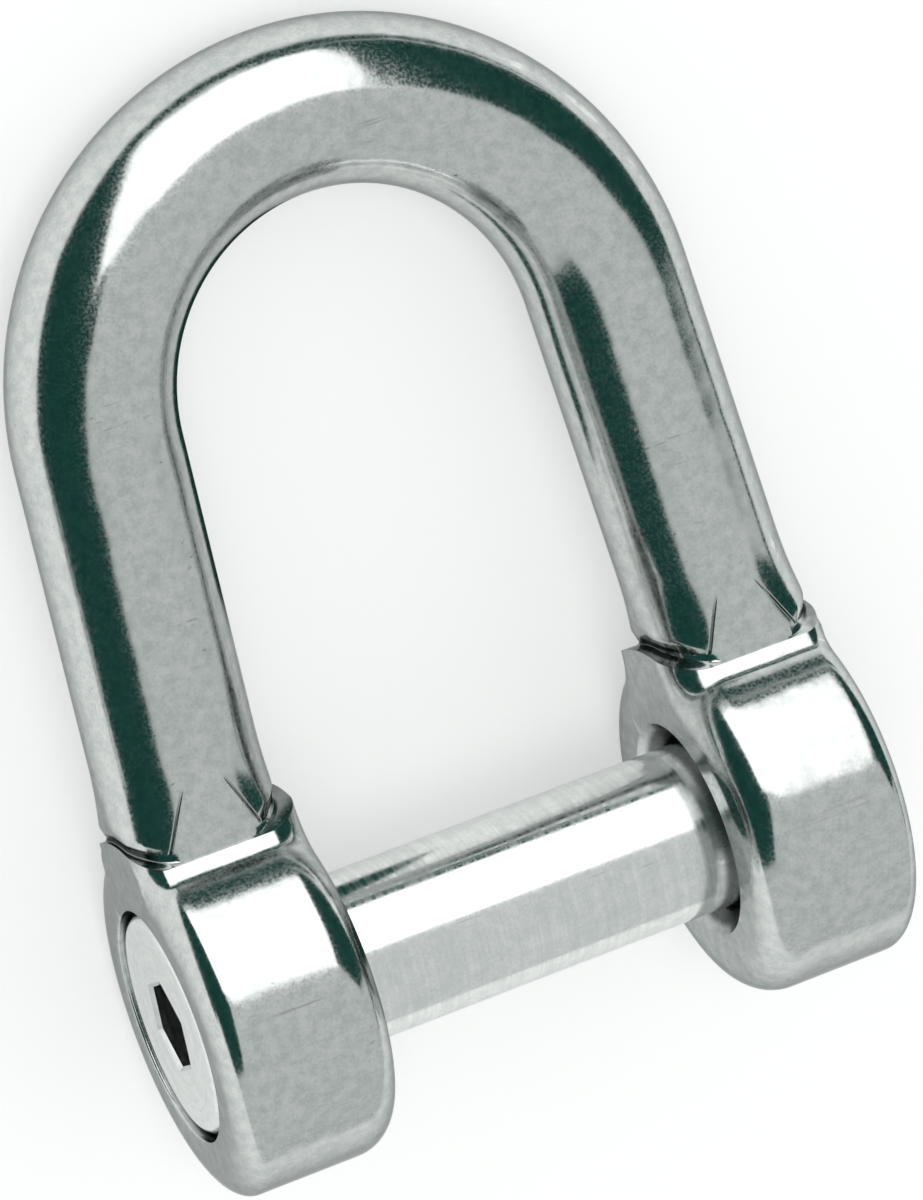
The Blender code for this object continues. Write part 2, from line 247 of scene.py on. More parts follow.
def ear_form(out, up, deep):
    """How far a point lies outside an ear without its holes and shoulder, less than zero inside.

    The outline is drawn out to the ear's thickness. Its edges are quarters of an ellipse: the
    root of the squares of both ways past the ellipse's centre, each in its own half axis, is 1.
    """
    drop = np.where(out > EAR_MIDDLE, OUTER_EDGE_DROP, EAR_EDGE_RADIUS)
    rim = side_outline(up, deep) / EAR_EDGE_RADIUS + 1.0
    slab = (np.abs(out - EAR_MIDDLE) - EAR_THICKNESS / 2) / drop + 1.0
    inside = np.minimum(np.maximum(rim, slab), 0.0)
    rounded = inside + np.hypot(np.maximum(rim, 0.0), np.maximum(slab, 0.0))
    return (rounded - 1.0) * OUTER_EDGE_DROP


def forging_form(out, up, deep):
    """The ear and its leg as one.

    The ear ends at the shoulder, a circle about the pin, and inside it the faces are cut flat.
    """
    past_shoulder = np.hypot(up, deep) - SHOULDER_RADIUS
    facing = np.abs(out - EAR_MIDDLE) - EAR_THICKNESS / 2
    ear = np.maximum(ear_form(out, up, deep), past_shoulder)
    return np.maximum(np.minimum(ear, leg_form(out, up, deep)), np.minimum(facing, -past_shoulder))


def cast(form, start, way, near, far):
    """Where rays leave a form: the distance is halved in on between a near and a far bound."""
    near = np.full(way.shape[:-1], near)
    far = np.full(way.shape[:-1], far)
    for _ in range(HALVINGS):
        middle = (near + far) / 2
        point = start + way * middle[..., None]
        outside = form(point[..., 0], point[..., 1], point[..., 2]) > 0.0
        far = np.where(outside, middle, far)
        near = np.where(outside, near, middle)
    return start + way * ((near + far) / 2)[..., None]


def bar_ring(place, side_way):
    """Circle of the bar round a point of its centre line, from the outer side towards the front."""
    angle = np.arange(ROUND_BAR) * (2 * math.pi / ROUND_BAR)
    ring = np.outer(np.cos(angle), [side_way[0], side_way[1], 0.0])
    ring[:, 2] = np.sin(angle)
    return np.array([place[0], place[1], 0.0]) + BAR_RADIUS * ring


def collar(form):
    """Ring of points at the shoulder where a form meets the circle about the pin.

    Each point goes out from near the leg's centre line at its own angle. Its height is the
    circle's, the root of its radius squared less the depth squared, set anew in each round.
    """
    angle = np.arange(ROUND_BAR) * (2 * math.pi / ROUND_BAR)
    way = np.stack([np.cos(angle), np.zeros(ROUND_BAR), np.sin(angle)], axis=-1)
    up = np.full(ROUND_BAR, SHOULDER_RADIUS)
    start = np.zeros((ROUND_BAR, 3))
    start[:, 0] = EAR_MIDDLE + LEG_OFFSET / 2
    for _ in range(COLLAR_ROUNDS):
        start[:, 1] = up
        ring = cast(form, start, way, 0.0, 2.0 * BAR_RADIUS)
        up = np.sqrt(SHOULDER_RADIUS**2 - ring[:, 2] ** 2)
    return ring


def unit(vectors):
    """The vectors over their lengths."""
    return vectors / np.linalg.norm(vectors, axis=-1, keepdims=True)


def head_hole():
    """Section of the head ear's holes from the jaw to the outer face, as (radius, out)."""
    mouth = JAW_FACE + BORE_CHAMFER
    edge = BROKEN_EDGE
    return np.concatenate([
        straight((BORE_RADIUS + BORE_CHAMFER, JAW_FACE), (BORE_RADIUS, mouth), 3),
        straight((BORE_RADIUS, mouth + edge), (BORE_RADIUS, RECESS_FLOOR - edge), 3),
        arc((BORE_RADIUS + edge, RECESS_FLOOR - edge), edge, math.pi, math.pi / 2, 4)[1:],
        straight((RECESS_RADIUS - edge, RECESS_FLOOR), (RECESS_RADIUS, RECESS_FLOOR + edge), 2),
        arc((RECESS_RADIUS + edge, OUTER_FACE - edge), edge, math.pi, math.pi / 2, 5),
    ])


def tapped_hole():
    """Section of the tapped ear's holes from the jaw to the outer face, as (radius, out)."""
    mouth = JAW_FACE + COUNTERSINK_DEPTH
    edge = BROKEN_EDGE
    tapped = THREAD_RADIUS + THREAD_PLAY
    wide = BORE_RADIUS + COUNTERSINK + edge
    return np.concatenate([
        arc((wide, JAW_FACE + edge), edge, -math.pi / 2, -math.pi * 0.75, 4),
        straight((BORE_RADIUS + edge, mouth - edge), (BORE_RADIUS, mouth + edge), 3),
        straight((BORE_RADIUS, SEAT_FLOOR - 2 * edge), (BORE_RADIUS, SEAT_FLOOR), 2),
        straight((tapped, SEAT_FLOOR), (tapped, OUTER_FACE - TAPPED_MOUTH + tapped), THREAD_ROWS),
        straight(
            (TAPPED_MOUTH - edge / 2, OUTER_FACE - edge), (TAPPED_MOUTH + edge, OUTER_FACE), 3),
    ])


def thread_groove(along, angle):
    """Depth of the thread's groove at a place along the pin and an angle round it.

    It follows the turns: the cosine of the place in the pitch, steepened, runs from 0 on the
    crest to 1 in the root.
    """
    wave = np.cos(2 * math.pi * (along / THREAD_PITCH) - angle)
    return THREAD_DEPTH * (0.5 - 0.5 * np.clip(wave * THREAD_STEEPNESS, -1.0, 1.0))


def ear_grid(hole, threaded):
    """The ear's own surface of revolution, holes included, as (points, quads, window's ring).

    Rows go round its section: over the rim from the outer face to the jaw's, then back through
    the hole. Columns go round the pin. The cells where the neck stands are left open.
    """
    flat = EAR_RADIUS - EAR_EDGE_RADIUS
    high = OUTER_FACE - OUTER_EDGE_DROP
    low = JAW_FACE + EAR_EDGE_RADIUS
    quarter = arc((0.0, 0.0), 1.0, math.pi / 2, 0.0, EDGE_ROWS)
    rim = np.concatenate([
        straight((WINDOW_RADIUS, OUTER_FACE), (flat, OUTER_FACE), LAND_ROWS)[:-1],
        (quarter * [EAR_EDGE_RADIUS, OUTER_EDGE_DROP] + [flat, high])[:-1],
        straight((EAR_RADIUS, high), (EAR_RADIUS, low), RIM_ROWS)[:-1],
        arc((flat, low), EAR_EDGE_RADIUS, 0.0, -math.pi / 2, EDGE_ROWS)[:-1],
        straight((flat, JAW_FACE), (WINDOW_RADIUS, JAW_FACE), LAND_ROWS),
    ])
    section = np.concatenate([rim, hole])
    angle = (np.arange(ROUND_EAR) - WINDOW_HALF) * (2 * math.pi / ROUND_EAR)
    radius = np.repeat(section[:, :1], ROUND_EAR, axis=1)
    out = np.repeat(section[:, 1:], ROUND_EAR, axis=1)
    if threaded:
        cut = (section[:, 0] == THREAD_RADIUS + THREAD_PLAY) & (np.arange(len(section)) > len(rim))
        fade = np.clip((out - SEAT_FLOOR) / THREAD_FADE, 0.0, 1.0)
        radius = radius - cut[:, None] * fade * thread_groove(out, angle)
    points = np.stack([out, radius * np.cos(angle), radius * np.sin(angle)], axis=-1)
    index = np.arange(points[..., 0].size).reshape(points.shape[:2])
    quads = grid_faces(index, round_rows=True)
    open_cells = np.zeros(quads.shape[:2], bool)
    open_cells[:WINDOW_ROWS, :2 * WINDOW_HALF] = True
    middle, last = WINDOW_HALF, 2 * WINDOW_HALF
    ring = np.concatenate([
        index[0, middle:last],
        index[:WINDOW_ROWS, last],
        index[WINDOW_ROWS, last:0:-1],
        index[WINDOW_ROWS:0:-1, 0],
        index[0, :middle],
    ])
    return points.reshape(-1, 3), quads[~open_cells], ring


def neck_rings(window, plain):
    """Rings from the window in the ear's grid up the neck to the plain bar.

    They go through the shoulder's edge and the leg's foot. Between these rings the ways from
    the ear's centre are mixed in even shares, and each ray is stopped at the forging's surface.
    """
    centre = np.array([EAR_MIDDLE, 0.0, 0.0])
    edge = unit(collar(ear_form) - centre)
    foot = unit(collar(lambda *place: leg_form(*place) + FOOT_INSET) - centre)
    inner = unit((1.0 - FOOT_TURN) * edge + FOOT_TURN * np.array([0.0, 1.0, 0.0]))
    foot = np.where(foot[:, 1:2] > inner[:, 1:2], foot, inner)
    stops = [unit(window - centre), edge, foot, unit(plain - centre)]
    counts = [RINGS_TO_SHOULDER, RINGS_ON_SHOULDER, RINGS_ON_NECK]
    ways = []
    for first, second, count in zip(stops, stops[1:], counts):
        share = (np.arange(count) / count)[:, None, None]
        ways.append(unit((1.0 - share) * first + share * second))
    rays = np.concatenate(ways)[1:]
    return cast(forging_form, centre, rays, RAY_NEAR, RAY_FAR)


def bow_rings():
    """Rings of the plain bar from the left neck over the crown to the right one."""
    leg = straight(LEG_FOOT + NECK_TOP * LEG_WAY, LEG_FOOT + LEG_LENGTH * LEG_WAY, LEG_ROWS)[:-1]
    bend = arc((0.0, BOW_CENTRE), BOW_RADIUS, math.pi - BOW_START, BOW_START, BOW_ROWS)
    bend_side = unit(bend - np.array([0.0, BOW_CENTRE]))
    mirror = np.array([-1.0, 1.0])
    places = np.concatenate([leg * mirror, bend, leg[::-1]])
    sides = np.concatenate([
        np.tile(LEG_SIDE * mirror, (len(leg), 1)), bend_side, np.tile(LEG_SIDE, (len(leg), 1)),
    ])
    return np.stack([bar_ring(place, side) for place, side in zip(places, sides)])


def forging():
    """The whole forged body as one closed surface, as (points, quads)."""
    plain = bow_rings()
    points = [plain.reshape(-1, 3)]
    plain_index = np.arange(plain[..., 0].size).reshape(plain.shape[:2])
    quads = [grid_faces(plain_index).reshape(-1, 4)]
    count = plain_index.size
    ears = ((-1.0, head_hole(), False, 0), (1.0, tapped_hole(), True, -1))
    for side, hole, threaded, end in ears:
        mirror = np.array([side, 1.0, 1.0])
        ear, ear_quads, window = ear_grid(hole, threaded)
        neck = neck_rings(ear[window], plain[end] * mirror)
        neck_index = count + len(ear) + np.arange(neck[..., 0].size).reshape(neck.shape[:2])
        rings = np.concatenate([count + window[None], neck_index, plain_index[end][None]])
        faces = [ear_quads + count, grid_faces(rings).reshape(-1, 4)[:, ::-1]]
        points += [ear * mirror, neck.reshape(-1, 3) * mirror]
        quads += [face if side > 0 else face[:, ::-1] for face in faces]
        count += len(ear) + neck_index.size
    return np.concatenate(points), np.concatenate(quads)


def hexagon_radius(angle):
    """Radius of the socket's hexagon: the apothem over the cosine of the angle from its flat."""
    turned = np.mod(angle, math.pi / 3) - math.pi / 6
    return SOCKET_ACROSS_FLATS / 2 / np.cos(turned)


def pin_surface():
    """The pin as one closed surface of revolution, as (points, quads, end triangles).

    Rows go from the floor of the socket out over the head and along the shank to the threaded
    end. In the socket the radius is the hexagon's, up to its chamfered mouth. On the threaded
    stretch the groove's depth comes off the radius.
    """
    angle = np.arange(ROUND_PIN) * (2 * math.pi / ROUND_PIN)
    around = angle + SOCKET_TURN
    hexagon = hexagon_radius(angle)
    mouth = SOCKET_ACROSS_FLATS / math.sqrt(3) + 2 * SOCKET_CHAMFER
    floor = HEAD_TOP - SOCKET_DEPTH
    share = np.linspace(FLOOR_CENTRE, 1.0, FLOOR_RINGS)[:, None]
    levels = [floor + SOCKET_FLOOR_EDGE, HEAD_TOP - SOCKET_CHAMFER_DEPTH, HEAD_TOP]
    every = np.ones_like(angle)
    socket_radius = [share * hexagon, np.stack([hexagon, hexagon, hexagon + SOCKET_CHAMFER])]
    socket_out = [floor - SOCKET_CONE * (1.0 - share) * every, np.array(levels)[:, None] * every]
    edge = BROKEN_EDGE
    rim = HEAD_RADIUS - HEAD_CHAMFER
    relief_far = SHANK_END + RELIEF_WIDTH
    turned = np.concatenate([
        straight((mouth, HEAD_TOP), (rim - edge, HEAD_TOP), 10),
        straight((rim, HEAD_TOP - edge / 3), (HEAD_RADIUS - edge / 3, HEAD_TOP - HEAD_CHAMFER), 3),
        straight((HEAD_RADIUS, HEAD_TOP - HEAD_CHAMFER - edge), (HEAD_RADIUS, HEAD_SEAT + edge), 4),
        straight((HEAD_RADIUS - edge, HEAD_SEAT), (SHANK_RADIUS + edge, HEAD_SEAT), 4),
        straight((SHANK_RADIUS, HEAD_SEAT - edge), (SHANK_RADIUS, -SHANK_END + 2 * edge), 26),
        straight((SHANK_RADIUS - 2 * edge, -SHANK_END), (RELIEF_RADIUS + edge, -SHANK_END), 3),
        straight(
            (RELIEF_RADIUS, -SHANK_END - edge), (RELIEF_RADIUS, -relief_far + THREAD_DEPTH), 3),
        straight((THREAD_RADIUS, -relief_far), (THREAD_RADIUS, -PIN_END + edge), THREAD_ROWS),
        straight((THREAD_RADIUS - PIN_END_CHAMFER, -PIN_END), (END_CENTRE, -PIN_END), 6),
    ])
    radius = np.repeat(turned[:, :1], ROUND_PIN, axis=1)
    out = np.repeat(turned[:, 1:], ROUND_PIN, axis=1)
    on_thread = (out < -relief_far + THREAD_DEPTH / 2) & (radius == THREAD_RADIUS)
    run_out = np.clip((-relief_far - out) / THREAD_FADE, 0.0, 1.0)
    grooved = radius - thread_groove(-out, around)
    start = RELIEF_RADIUS + run_out * (THREAD_RADIUS - RELIEF_RADIUS) + THREAD_START_LIFT
    chamfer = THREAD_RADIUS - PIN_END_CHAMFER + PIN_END + out
    grooved = np.minimum(np.minimum(grooved, start), chamfer)
    radius = np.where(on_thread, grooved, radius)
    radius = np.concatenate(socket_radius + [radius])
    out = np.concatenate(socket_out + [out])
    points = np.stack([-out, radius * np.cos(around), radius * np.sin(around)], axis=-1)
    index = np.arange(radius.size).reshape(radius.shape)
    poles = np.array([[-(floor - SOCKET_CONE), 0.0, 0.0], [PIN_END, 0.0, 0.0]])
    first, last = radius.size, radius.size + 1
    caps = np.concatenate([
        np.stack([np.full(ROUND_PIN, first), np.roll(index[0], -1), index[0]], axis=-1),
        np.stack([np.full(ROUND_PIN, last), index[-1], np.roll(index[-1], -1)], axis=-1),
    ])
    return np.concatenate([points.reshape(-1, 3), poles]), grid_faces(index).reshape(-1, 4), caps


def make_piece(name, points, faces, material, body, node):
    """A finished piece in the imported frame: unused points dropped, faces outwards, edges marked."""
    used, flat = np.unique(np.concatenate([part.ravel() for part in faces]), return_inverse=True)
    points = lie_down(points[used])
    sizes = [part.size for part in faces]
    parts = np.split(flat, np.cumsum(sizes)[:-1])
    polygons = [row for part, old in zip(parts, faces) for row in part.reshape(old.shape).tolist()]
    mesh = bpy.data.meshes.new(name)
    mesh.from_pydata(points.tolist(), [], polygons)
    whole = bmesh.new()
    whole.from_mesh(mesh)
    bmesh.ops.recalc_face_normals(whole, faces=whole.faces)
    if whole.calc_volume(signed=True) < 0.0:
        bmesh.ops.reverse_faces(whole, faces=whole.faces)
    whole.to_mesh(mesh)
    whole.free()
    mesh.shade_smooth()
    mesh.set_sharp_from_angle(angle=SHARP_ANGLE)
    mesh.materials.append(material)
    piece = bpy.data.objects.new(name, mesh)
    bpy.context.scene.collection.objects.link(piece)
    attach(piece, body)
    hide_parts(node)
    return piece


# The steels' finish: sizes are features to a metre, depths are metres, and a pair of bounds is
# where a mask begins and where it is full
PIN_HEIGHT = EAR_RADIUS  # of the pin's axis above the floor
PIN_ACROSS = -BASE_CENTRE  # place of the pin's axis along Y
NOISE_SPAN = (0.3, 0.7)  # the part of a noise's values that is spread out to a full mask
FORGED_LIGHT = (0.69, 0.70, 0.69)
FORGED_DARK = (0.51, 0.545, 0.535)
FORGED_EDGE_TINT = (0.42, 0.43, 0.43)
FORGED_ROUGH = (0.11, 0.19)
FORGED_MARK_ROUGH = 0.12  # more on scratches and pits
TURNED_LIGHT = (0.86, 0.87, 0.86)
TURNED_DARK = (0.71, 0.73, 0.72)
TURNED_EDGE_TINT = (0.8, 0.81, 0.81)
TURNED_ROUGH = (0.10, 0.20)
TURNED_MARK_ROUGH = 0.10
WORN_COLOUR = (0.82, 0.83, 0.82)
MARK_COLOUR = (0.34, 0.36, 0.35)
SCRATCH_TURNS = (0.5, 1.9)
SCRATCH_SCALE = (160.0, 5200.0, 5200.0)  # along a scratch and across it

# Painted shade: the colour is darkened in the holes, in the notch and in the facets' creases, where
# shade falls
PAINTED_SHADE_COLOUR = (0.022, 0.03, 0.028)
HOLE_WALL = (5.85 * MM, 5.9 * MM)  # from the pin's axis
HOLE_START = (JAW_FACE + 0.2 * MM, JAW_FACE + 0.5 * MM)
HOLE_END = (OUTER_FACE - 0.4 * MM, OUTER_FACE - 0.15 * MM)
# share of painted shade in the holes
HOLE_PAINTED_SHADE = 0.72
HOLE_ROUGH = 0.16
NOTCH_MIDDLE = SHOULDER_RADIUS + NOTCH_LENGTH * 0.55
NOTCH_LINE = (NOTCH_LENGTH * 0.35, NOTCH_LENGTH * 0.75)  # from its middle
NOTCH_AT_JAW = (JAW_FACE + 0.9 * MM, JAW_FACE + 1.5 * MM)
NOTCH_OUTSIDE = (OUTER_FACE - 1.3 * MM, OUTER_FACE - 0.7 * MM)
# share of painted shade in the notch
NOTCH_PAINTED_SHADE = 0.96
CREASE_HALF = 2.1 * MM  # from the leg's centre line to a crease, at the shoulder
CREASE_MEET = 4.6 * MM  # from the shoulder up to where the creases would meet
CREASE_WIDTH = 0.11 * MM
CREASE_START = (-0.5 * MM, -0.25 * MM)  # from the shoulder up
CREASE_FADE = (1.04 * MM, 2.6 * MM)
CREASE_FRONT = (2.0 * MM, 2.6 * MM)  # from the middle plane out
CREASE_DEPTH = 0.035 * MM
# share of painted shade in the creases; the crease's groove depth above is real
CREASE_PAINTED_SHADE = 0.7

# The lathe's rings and the thread of the pin
RINGS_PER_METRE = 5200.0
RING_SPAN = (0.35, 0.7)
RING_COLOUR = (0.60, 0.63, 0.62)
RING_SHARE = 0.3
RING_DEPTH = 0.0009 * MM
THREAD_FROM = (SHANK_END - 0.1 * MM, SHANK_END + 0.2 * MM)
THREAD_COLOUR = (0.30, 0.32, 0.31)
THREAD_SHARE = 0.55
THREAD_ROUGH = 0.12

MIX_FIRST, MIX_SECOND, MIX_RESULT = 6, 7, 2  # the Mix node's sockets for colours


def new_group(name, inputs, outputs):
    """A node group with named value and vector sockets, and its two end nodes."""
    group = bpy.data.node_groups.new(name, "ShaderNodeTree")
    for label, kind, value in inputs:
        socket = group.interface.new_socket(label, in_out="INPUT", socket_type=kind)
        if value is not None:
            socket.default_value = value
    for label in outputs:
        group.interface.new_socket(label, in_out="OUTPUT", socket_type="NodeSocketFloat")
    return group, group.nodes.new("NodeGroupInput"), group.nodes.new("NodeGroupOutput")


def feed(tree, item, socket):
    """A link into a socket, or a plain value on it."""
    if isinstance(item, bpy.types.NodeSocket):
        tree.links.new(item, socket)
    else:
        socket.default_value = item


def maths(tree, operation, *values):
    """Math nodes fed with links or numbers, two at a time from the first on; gives the output."""
    node = tree.nodes.new("ShaderNodeMath")
    node.operation = operation
    for socket, value in zip(node.inputs, values[:2]):
        feed(tree, value, socket)
    output = node.outputs["Value"]
    return maths(tree, operation, output, *values[2:]) if len(values) > 2 else output


def ramp_value(tree, value, low, high, to_low=0.0, to_high=1.0):
    """A smooth step of a value between two bounds."""
    node = tree.nodes.new("ShaderNodeMapRange")
    node.interpolation_type = "SMOOTHSTEP"
    labels = ("Value", "From Min", "From Max", "To Min", "To Max")
    for label, item in zip(labels, (value, low, high, to_low, to_high)):
        feed(tree, item, node.inputs[label])
    return node.outputs["Result"]


def noise(tree, place, scale, detail=1.0):
    """A Noise Texture at a place; gives its value."""
    node = tree.nodes.new("ShaderNodeTexNoise")
    for label, item in (("Detail", detail), ("Vector", place), ("Scale", scale)):
        feed(tree, item, node.inputs[label])
    return node.outputs["Fac"]


def polish_group():
    """Mottled polish: patchy tone, the grain's height and the slow waves of the forging under it."""
    group, given, result = new_group("mottled polish", [
        ("Place", "NodeSocketVector", None),
        ("Patches per metre", "NodeSocketFloat", 1500.0),
        ("Grain per metre", "NodeSocketFloat", 6000.0),
        ("Waves per metre", "NodeSocketFloat", 420.0),
        ("Grain depth", "NodeSocketFloat", 0.0006 * MM),
        ("Wave depth", "NodeSocketFloat", 0.02 * MM),
    ], ["Patches", "Grain", "Height"])
    place, grain_depth = given.outputs["Place"], given.outputs["Grain depth"]
    patches = noise(group, place, given.outputs["Patches per metre"], 3.0)
    grain = noise(group, place, given.outputs["Grain per metre"])
    waves = noise(group, place, given.outputs["Waves per metre"])
    shares = (maths(group, "MULTIPLY", patches, 0.6), maths(group, "MULTIPLY", grain, 0.4))
    tone = maths(group, "ADD", *shares)
    height = maths(
        group, "ADD",
        maths(group, "MULTIPLY", patches, maths(group, "MULTIPLY", grain_depth, 3.0)),
        maths(group, "MULTIPLY", grain, grain_depth),
        maths(group, "MULTIPLY", waves, given.outputs["Wave depth"]),
    )
    group.links.new(ramp_value(group, tone, *NOISE_SPAN), result.inputs["Patches"])
    group.links.new(grain, result.inputs["Grain"])
    group.links.new(height, result.inputs["Height"])
    return group


def wear_group():
    """Handling marks: worn outer edges, sparse fine scratches and small pits."""
    group, given, result = new_group("handling wear", [
        ("Place", "NodeSocketVector", None),
        ("Scratch depth", "NodeSocketFloat", 0.0012 * MM),
        ("Pit depth", "NodeSocketFloat", 0.02 * MM),
        ("Pits per metre", "NodeSocketFloat", 420.0),
    ], ["Edges", "Marks", "Height"])
    place = given.outputs["Place"]
    shape = group.nodes.new("ShaderNodeNewGeometry")
    edges = ramp_value(group, shape.outputs["Pointiness"], 0.52, 0.62)
    edges = maths(group, "MULTIPLY", edges, ramp_value(group, noise(group, place, 1100.0), 0.35, 0.6))
    there = ramp_value(group, noise(group, place, 300.0), 0.54, 0.7)
    marks = []
    for turn in SCRATCH_TURNS:
        mapping = group.nodes.new("ShaderNodeMapping")
        mapping.inputs["Rotation"].default_value = (turn, 0.6 * turn, 1.7 * turn)
        mapping.inputs["Scale"].default_value = SCRATCH_SCALE
        group.links.new(place, mapping.inputs["Vector"])
        line = noise(group, mapping.outputs["Vector"], 1.0, 0.0)
        marks.append(maths(group, "MULTIPLY", ramp_value(group, line, 0.74, 0.82), there))
    scratches = maths(group, "MAXIMUM", *marks)
    cells = group.nodes.new("ShaderNodeTexVoronoi")
    group.links.new(place, cells.inputs["Vector"])
    group.links.new(given.outputs["Pits per metre"], cells.inputs["Scale"])
    dots = ramp_value(group, cells.outputs["Distance"], 0.02, 0.07, 1.0, 0.0)
    pits = maths(group, "MULTIPLY", dots, there)
    down = maths(
        group, "ADD",
        maths(group, "MULTIPLY", pits, given.outputs["Pit depth"]),
        maths(group, "MULTIPLY", scratches, given.outputs["Scratch depth"]),
    )
    marked = maths(group, "MAXIMUM", pits, maths(group, "MULTIPLY", scratches, 0.6))
    group.links.new(edges, result.inputs["Edges"])
    group.links.new(marked, result.inputs["Marks"])
    group.links.new(maths(group, "MULTIPLY", down, -1.0), result.inputs["Height"])
    return group


def axis_group():
    """Where a point lies about the pin's axis: its radius and place along, and two masks.

    The masks are of the holes in the ears, and of the notch above the shoulder.
    """
    group, given, result = new_group("about the pin", [
        ("Place", "NodeSocketVector", None),
        ("Axis Y", "NodeSocketFloat", PIN_ACROSS),
        ("Axis Z", "NodeSocketFloat", PIN_HEIGHT),
    ], ["Radius", "Along", "In a hole", "In the notch"])
    split = group.nodes.new("ShaderNodeSeparateXYZ")
    group.links.new(given.outputs["Place"], split.inputs["Vector"])
    across = maths(group, "SUBTRACT", split.outputs["Y"], given.outputs["Axis Y"])
    above = maths(group, "SUBTRACT", split.outputs["Z"], given.outputs["Axis Z"])
    squares = (maths(group, "MULTIPLY", across, across), maths(group, "MULTIPLY", above, above))
    radius = maths(group, "SQRT", maths(group, "ADD", *squares))
    out = maths(group, "ABSOLUTE", split.outputs["X"])
    hole = maths(
        group, "MULTIPLY",
        ramp_value(group, out, *HOLE_START),
        ramp_value(group, out, *HOLE_END, 1.0, 0.0),
        ramp_value(group, radius, *HOLE_WALL, 1.0, 0.0),
    )
    past = maths(group, "ABSOLUTE", maths(group, "SUBTRACT", radius, NOTCH_MIDDLE))
    faces = maths(
        group, "MAXIMUM",
        ramp_value(group, out, *NOTCH_AT_JAW, 1.0, 0.0),
        ramp_value(group, out, *NOTCH_OUTSIDE),
    )
    notch = maths(group, "MULTIPLY", ramp_value(group, past, *NOTCH_LINE, 1.0, 0.0), faces)
    group.links.new(radius, result.inputs["Radius"])
    group.links.new(split.outputs["X"], result.inputs["Along"])
    group.links.new(hole, result.inputs["In a hole"])
    group.links.new(notch, result.inputs["In the notch"])
    return group


def crease_group():
    """The two sharp lines of the V facet on the front and back of each neck.

    The place is turned back into the shackle's own frame. A line's half distance from the leg's
    centre line falls evenly with the way up, and the mask is a smooth step of the distance from it.
    """
    group, given, result = new_group("facet creases", [("Place", "NodeSocketVector", None)], ["Crease"])
    back = group.nodes.new("ShaderNodeMapping")
    back.vector_type = "TEXTURE"
    back.inputs["Location"].default_value = (0.0, -BASE_CENTRE, EAR_RADIUS)
    back.inputs["Rotation"].default_value = (-LEAN, 0.0, 0.0)
    group.links.new(given.outputs["Place"], back.inputs["Vector"])
    split = group.nodes.new("ShaderNodeSeparateXYZ")
    group.links.new(back.outputs["Vector"], split.inputs["Vector"])
    out, deep = (maths(group, "ABSOLUTE", split.outputs[axis]) for axis in ("X", "Z"))
    along = maths(group, "SUBTRACT", split.outputs["Y"], float(LEG_FOOT[1]))
    centre = maths(group, "MULTIPLY", along, float(LEG_WAY[0] / LEG_WAY[1]))
    centre = maths(group, "ADD", centre, float(LEG_FOOT[0]))
    across = maths(group, "ABSOLUTE", maths(group, "SUBTRACT", out, centre))
    line = maths(group, "ADD", maths(group, "MULTIPLY", along, -CREASE_HALF / CREASE_MEET), CREASE_HALF)
    off = maths(group, "ABSOLUTE", maths(group, "SUBTRACT", across, line))
    mask = maths(
        group, "MULTIPLY",
        ramp_value(group, off, 0.35 * CREASE_WIDTH, CREASE_WIDTH, 1.0, 0.0),
        ramp_value(group, along, *CREASE_START),
        ramp_value(group, along, *CREASE_FADE, 1.0, 0.0),
        ramp_value(group, deep, *CREASE_FRONT),
    )
    group.links.new(mask, result.inputs["Crease"])
    return group


def use_group(tree, group, place, values):
    """A node of a group in a material, with its place linked and its own numbers."""
    node = tree.nodes.new("ShaderNodeGroup")
    node.node_tree = group
    tree.links.new(place, node.inputs["Place"])
    for label, value in values.items():
        node.inputs[label].default_value = value
    return node


def mix_colour(tree, share, first, second):
    """One colour to another by a mask; each is a link or a colour."""
    node = tree.nodes.new("ShaderNodeMix")
    node.data_type = "RGBA"
    tree.links.new(share, node.inputs["Factor"])
    for number, item in ((MIX_FIRST, first), (MIX_SECOND, second)):
        feed(tree, (*item, 1.0) if isinstance(item, tuple) else item, node.inputs[number])
    return node.outputs[MIX_RESULT]


def steel_base(name, colours, edge_tint, groups, polish_values, wear_values):
    """What both steels share: the place, three groups' nodes and the colour made of them."""
    material = bpy.data.materials.new(name)
    material.use_nodes = True
    tree = material.node_tree
    shader = tree.nodes["Principled BSDF"]
    shader.inputs["Metallic"].default_value = 1.0
    shader.inputs["Specular Tint"].default_value = (*edge_tint, 1.0)
    place = tree.nodes.new("ShaderNodeTexCoord").outputs["Object"]
    polish = use_group(tree, groups["polish"], place, polish_values)
    wear = use_group(tree, groups["wear"], place, wear_values)
    axis = use_group(tree, groups["axis"], place, {})
    colour = mix_colour(tree, polish.outputs["Patches"], *colours)
    colour = mix_colour(tree, wear.outputs["Edges"], colour, WORN_COLOUR)
    colour = mix_colour(tree, wear.outputs["Marks"], colour, MARK_COLOUR)
    return material, place, polish, wear, axis, colour


def finish_steel(material, colour, rough, height):
    """Colour, roughness and bump into the shader."""
    tree = material.node_tree
    shader = tree.nodes["Principled BSDF"]
    bump = tree.nodes.new("ShaderNodeBump")
    bump.inputs["Strength"].default_value = 1.0
    bump.inputs["Distance"].default_value = 1.0
    tree.links.new(height, bump.inputs["Height"])
    tree.links.new(bump.outputs["Normal"], shader.inputs["Normal"])
    tree.links.new(colour, shader.inputs["Base Color"])
    tree.links.new(rough, shader.inputs["Roughness"])


